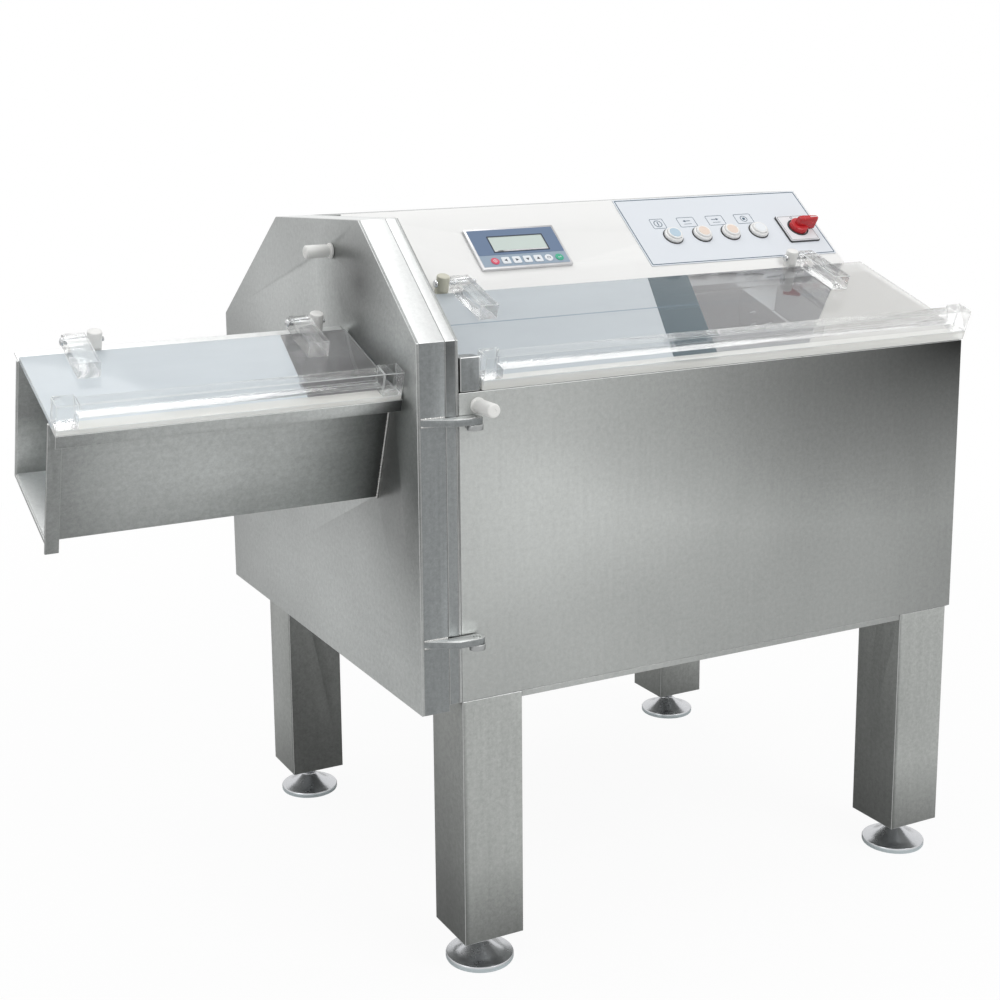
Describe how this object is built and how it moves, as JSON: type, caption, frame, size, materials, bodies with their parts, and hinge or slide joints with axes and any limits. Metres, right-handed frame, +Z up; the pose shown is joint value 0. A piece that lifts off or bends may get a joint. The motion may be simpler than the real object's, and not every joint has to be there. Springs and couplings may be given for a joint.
{
  "type": "frozen meat slicer",
  "caption": "Stainless frozen meat slicer and rib chopper on legs, with tilted lidded infeed trough, hinged knife-housing door with lidded outfeed chute, and sloping console.",
  "frame": {"origin": "centre of the footprint on the floor, under the middle of the overall box", "axes": "+X along the feed channel from the outfeed chute to the infeed end, +Y from the operator's side to the back, +Z up"},
  "size_m": [1.536, 0.875, 1.162],
  "materials": {
    "stainless": "brushed",
    "stainless_light": "fine brushed",
    "machined_steel": "machined",
    "pale_enamel": "satin, near white",
    "clear_acrylic": "clear, polished edges",
    "white_nylon": "satin",
    "chrome": "polished",
    "pale_blue_plate": "satin",
    "blue_bezel": "satin",
    "green_screen": "glossy",
    "blue_button": "translucent",
    "peach_button": "translucent",
    "white_button": "satin",
    "red_knob": "satin",
    "black_rubber": "matt",
    "motor_paint": "painted",
    "aluminium": "machined"
  },
  "bodies": {
    "root": {"leg_frame": "stainless", "front_panel": "stainless_light", "rear_panel": "stainless", "end_panel": "stainless", "knife_frame_plate": "stainless", "knife_frame_rim": "stainless", "feed_trough": "stainless_light", "console_panel": "pale_enamel", "rear_cover": "stainless", "hmi_bezel": "blue_bezel", "hmi_screen": "green_screen", "button_plate": "pale_blue_plate", "switch_plate": "white_button", "infeed_post_left": "white_nylon", "infeed_post_right": "white_nylon", "infeed_bolt_left": "chrome", "infeed_bolt_right": "chrome", "lid_interlock_switch": "stainless", "hinge_knuckle_top": "machined_steel", "hinge_knuckle_bottom": "machined_steel", "knife_bearing_housing": "machined_steel", "knife_bearings": "chrome", "main_motor": "motor_paint", "drive_belt": "black_rubber", "feed_motor": "motor_paint", "screw_bracket": "aluminium", "guide_rod": "chrome"},
    "door": {"door_plate": "stainless", "door_rim": "stainless", "outfeed_chute": "stainless", "outfeed_post_left": "white_nylon", "outfeed_post_right": "white_nylon", "outfeed_bolt_left": "chrome", "outfeed_bolt_right": "chrome"},
    "door_knob": {"door_knob": "white_nylon"},
    "outfeed_lid": {"outfeed_lid": "clear_acrylic", "outfeed_strap_left": "clear_acrylic", "outfeed_strap_right": "clear_acrylic", "outfeed_lid_handle": "clear_acrylic"},
    "infeed_lid": {"infeed_lid": "clear_acrylic", "infeed_strap_left": "clear_acrylic", "infeed_strap_right": "clear_acrylic", "infeed_lid_handle": "clear_acrylic"},
    "knife": {"knife_shaft": "machined_steel", "knife_blade": "chrome", "knife_pulley": "aluminium"},
    "motor_pulley": {"motor_pulley": "aluminium"},
    "ball_screw": {"ball_screw": "machined_steel"},
    "pusher": {"pusher_carriage": "aluminium", "pusher_plate": "stainless_light"},
    "button_start": {"button_start": "blue_button"},
    "button_forward": {"button_forward": "peach_button"},
    "button_back": {"button_back": "peach_button"},
    "button_stop": {"button_stop": "white_button"},
    "switch_knob": {"switch_knob": "red_knob"},
    "side_knob": {"side_knob": "white_nylon"},
    "foot_near_left": {"foot_near_left": "chrome"},
    "foot_near_right": {"foot_near_right": "chrome"},
    "foot_far_left": {"foot_far_left": "chrome"},
    "foot_far_right": {"foot_far_right": "chrome"}
  },
  "joints": [
    {"name": "door_hinge", "type": "hinge", "parent": "root", "child": "door", "pos_m": [-0.176, -0.3985, 0], "axis": [0, 0, 1], "range_deg": [0, 100]},
    {"name": "outfeed_lid_hinge", "type": "hinge", "parent": "door", "child": "outfeed_lid", "pos_m": [-0.194, -0.13658, 1.00684], "axis": [-1, 0, 0], "range_deg": [0, 96]},
    {"name": "infeed_lid_hinge", "type": "hinge", "parent": "root", "child": "infeed_lid", "pos_m": [-0.194, -0.11959, 1.04821], "axis": [-1, 0, 0], "range_deg": [0, 96]},
    {"name": "knife_spin", "type": "hinge", "parent": "root", "child": "knife", "pos_m": [-0.194, -0.0005, 0.799], "axis": [-1, 0, 0], "continuous": true},
    {"name": "motor_spin", "type": "hinge", "parent": "root", "child": "motor_pulley", "pos_m": [-0.194, 0.2155, 0.6], "axis": [-1, 0, 0], "continuous": true},
    {"name": "pusher_slide", "type": "slide", "parent": "root", "child": "pusher", "axis": [-1, 0, 0], "range_m": [-0.045, 0.655]},
    {"name": "screw_spin", "type": "hinge", "parent": "root", "child": "ball_screw", "pos_m": [-0.194, -0.06341, 0.97942], "axis": [-1, 0, 0], "continuous": true},
    {"name": "button_start_press", "type": "slide", "parent": "root", "child": "button_start", "axis": [0, 0.6334, -0.7738], "range_m": [0, 0.003], "stiffness_N_per_m": 400, "springref_m": -0.002},
    {"name": "button_forward_press", "type": "slide", "parent": "root", "child": "button_forward", "axis": [0, 0.6334, -0.7738], "range_m": [0, 0.003], "stiffness_N_per_m": 400, "springref_m": -0.002},
    {"name": "button_back_press", "type": "slide", "parent": "root", "child": "button_back", "axis": [0, 0.6334, -0.7738], "range_m": [0, 0.003], "stiffness_N_per_m": 400, "springref_m": -0.002},
    {"name": "button_stop_press", "type": "slide", "parent": "root", "child": "button_stop", "axis": [0, 0.6334, -0.7738], "range_m": [0, 0.003], "stiffness_N_per_m": 400, "springref_m": -0.002},
    {"name": "power_switch_turn", "type": "hinge", "parent": "root", "child": "switch_knob", "pos_m": [0.681, -0.04659, 1.08892], "axis": [0, -0.6334, 0.7738], "range_deg": [0, 90]},
    {"name": "door_knob_turn", "type": "hinge", "parent": "door", "child": "door_knob", "pos_m": [-0.261, -0.0845, 1.108], "axis": [-1, 0, 0], "range_deg": [0, 90]},
    {"name": "side_knob_turn", "type": "hinge", "parent": "root", "child": "side_knob", "pos_m": [-0.164, -0.3845, 0.9022], "axis": [0, -1, 0], "range_deg": [0, 90]},
    {"name": "foot_near_left_adjust", "type": "slide", "parent": "root", "child": "foot_near_left", "axis": [0, 0, -1], "range_m": [0, 0.025]},
    {"name": "foot_near_right_adjust", "type": "slide", "parent": "root", "child": "foot_near_right", "axis": [0, 0, -1], "range_m": [0, 0.025]},
    {"name": "foot_far_left_adjust", "type": "slide", "parent": "root", "child": "foot_far_left", "axis": [0, 0, -1], "range_m": [0, 0.025]},
    {"name": "foot_far_right_adjust", "type": "slide", "parent": "root", "child": "foot_far_right", "axis": [0, 0, -1], "range_m": [0, 0.025]}
  ],
  "couplings": [
    {"joint": "motor_spin", "follows": "knife_spin", "ratio": 1.7092},
    {"joint": "screw_spin", "follows": "pusher_slide", "rad_per_m": 314.16}
  ]
}
